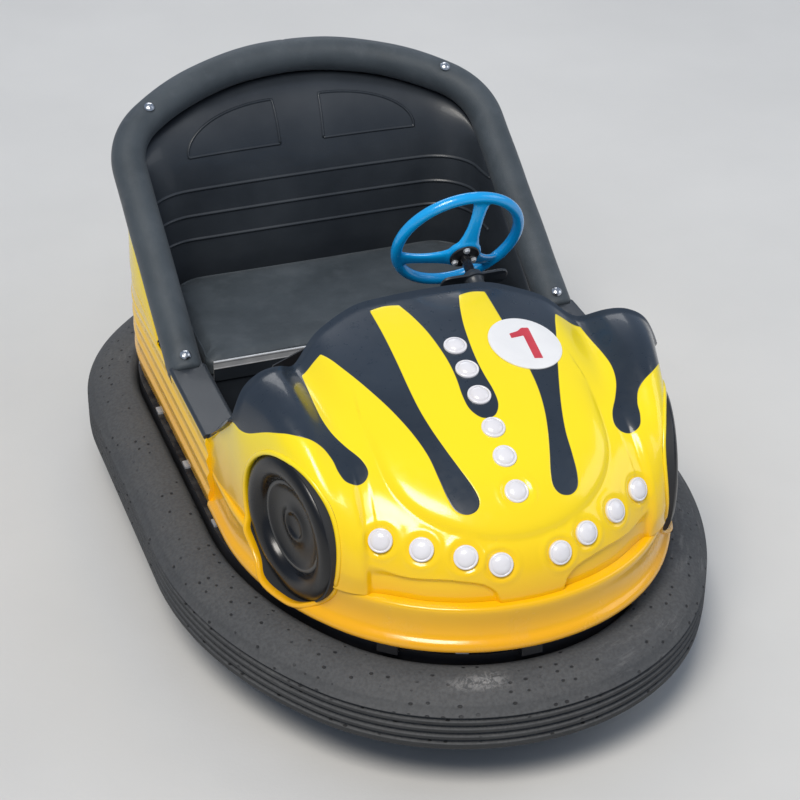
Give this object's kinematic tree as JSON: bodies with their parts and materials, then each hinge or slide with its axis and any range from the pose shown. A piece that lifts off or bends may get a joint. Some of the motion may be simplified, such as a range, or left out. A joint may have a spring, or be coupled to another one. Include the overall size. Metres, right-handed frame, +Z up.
{
  "type": "bumper car",
  "caption": "Two-seat fairground bumper car: rubber ring, moulded body with flame stripes, padded collar, sloping steering wheel and a swivelling driven front wheel.",
  "frame": {"origin": "on the floor under the middle of the ring's plan", "axes": "+Z up, the car's front towards -Y, +X towards the driver's left"},
  "size_m": [1.2, 1.95, 0.9241],
  "materials": {
    "body_paint": "glossy moulded body",
    "ring_rubber": "dusty matt rubber",
    "black_moulding": "satin black moulding",
    "black_gloss": "glossy black",
    "pad": "dark slate artificial leather",
    "frame_paint": "black painted steel",
    "bright_steel": "bright steel",
    "blue_plastic": "glossy blue",
    "lamp_white": "white lamp lens",
    "tyre_rubber": "solid rubber"
  },
  "bodies": {
    "car_body": {"bumper_ring": "ring_rubber", "ring_rim": "frame_paint", "rim_clips": "bright_steel", "body_brackets": "frame_paint", "front_lip": "body_paint", "front_body": "body_paint", "side_skirt_left": "body_paint", "side_skirt_right": "body_paint", "rear_skirt": "body_paint", "rear_shell": "body_paint", "sill_caps": "black_moulding", "wheel_dish_left": "black_gloss", "wheel_dish_right": "black_gloss", "nose_lamps": "lamp_white", "spine_lamps": "lamp_white", "number_roundel": "lamp_white", "seat_shell": "black_moulding", "seat_riser": "black_moulding", "seat_cushion": "pad", "cushion_trim": "bright_steel", "collar": "pad", "collar_bolts": "bright_steel", "toe_board": "frame_paint", "accelerator_pedal": "bright_steel", "column_plate": "frame_paint", "steering_gearbox": "frame_paint", "steering_chain": "bright_steel", "chassis_frame": "frame_paint", "floor_plate": "frame_paint", "swivel_bridge": "frame_paint", "battery_pack": "black_moulding", "rear_axle": "frame_paint"},
    "steering": {"steering_wheel": "blue_plastic", "steering_hub": "frame_paint", "steering_column": "bright_steel"},
    "gearbox_shaft": {"gearbox_sprocket": "bright_steel"},
    "drive_unit": {"drive_fork": "frame_paint", "drive_motor": "frame_paint"},
    "drive_wheel": {"drive_hub": "bright_steel", "drive_tyre": "tyre_rubber"},
    "rear_wheel_left": {"rear_hub_left": "bright_steel", "rear_tyre_left": "tyre_rubber"},
    "rear_wheel_right": {"rear_hub_right": "bright_steel", "rear_tyre_right": "tyre_rubber"}
  },
  "joints": [
    {"name": "drive_swivel", "type": "hinge", "parent": "car_body", "child": "drive_unit", "pos_m": [0, -0.5, 0.3], "axis": [0, 0, 1], "continuous": true},
    {"name": "steering_turn", "type": "hinge", "parent": "car_body", "child": "steering", "pos_m": [0.13, -0.088, 0.774], "axis": [0, 0.8988, 0.4384], "continuous": true},
    {"name": "gearbox_turn", "type": "hinge", "parent": "car_body", "child": "gearbox_shaft", "pos_m": [0.13, -0.5374, 0.4], "axis": [0, 0, 1], "continuous": true},
    {"name": "drive_wheel_spin", "type": "hinge", "parent": "drive_unit", "child": "drive_wheel", "pos_m": [0, -0.5, 0.125], "axis": [1, 0, 0], "continuous": true},
    {"name": "rear_left_spin", "type": "hinge", "parent": "car_body", "child": "rear_wheel_left", "pos_m": [0.352, 0.525, 0.1], "axis": [1, 0, 0], "continuous": true},
    {"name": "rear_right_spin", "type": "hinge", "parent": "car_body", "child": "rear_wheel_right", "pos_m": [-0.352, 0.525, 0.1], "axis": [1, 0, 0], "continuous": true}
  ],
  "couplings": [
    {"joint": "steering_turn", "follows": "drive_swivel", "ratio": 2},
    {"joint": "gearbox_turn", "follows": "drive_swivel", "ratio": 2}
  ]
}
